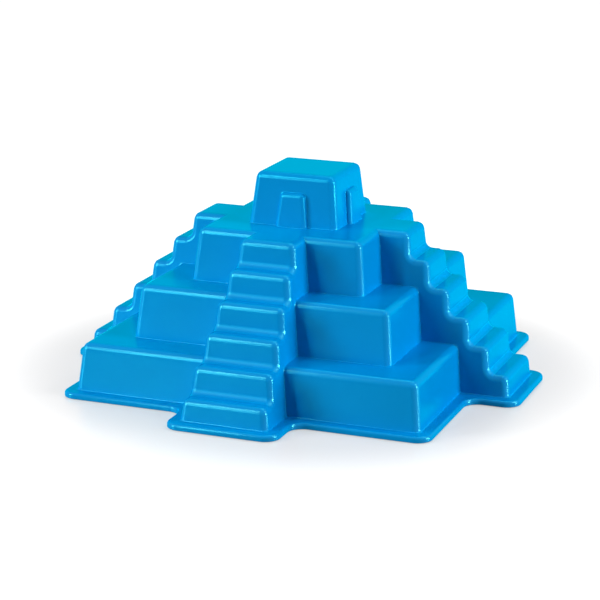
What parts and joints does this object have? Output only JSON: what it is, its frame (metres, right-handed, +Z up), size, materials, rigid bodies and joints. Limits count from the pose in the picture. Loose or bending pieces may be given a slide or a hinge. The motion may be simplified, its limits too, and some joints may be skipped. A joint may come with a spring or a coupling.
{
  "type": "sand mould",
  "caption": "Stepped pyramid sand mould: a thin plastic shell with square tiers, a stairway up each side and a small temple on top, open underneath with a flat rim.",
  "frame": {"origin": "on the ground under the middle of the rim", "axes": "+Z up through the middle of the temple, -Y and +X down two of the four equal stairways"},
  "size_m": [0.2402, 0.2402, 0.1059],
  "materials": {
    "shell_plastic": "satin, blue polypropylene coloured right through"
  },
  "bodies": {
    "root": {"mould_shell": "shell_plastic"}
  },
  "joints": []
}
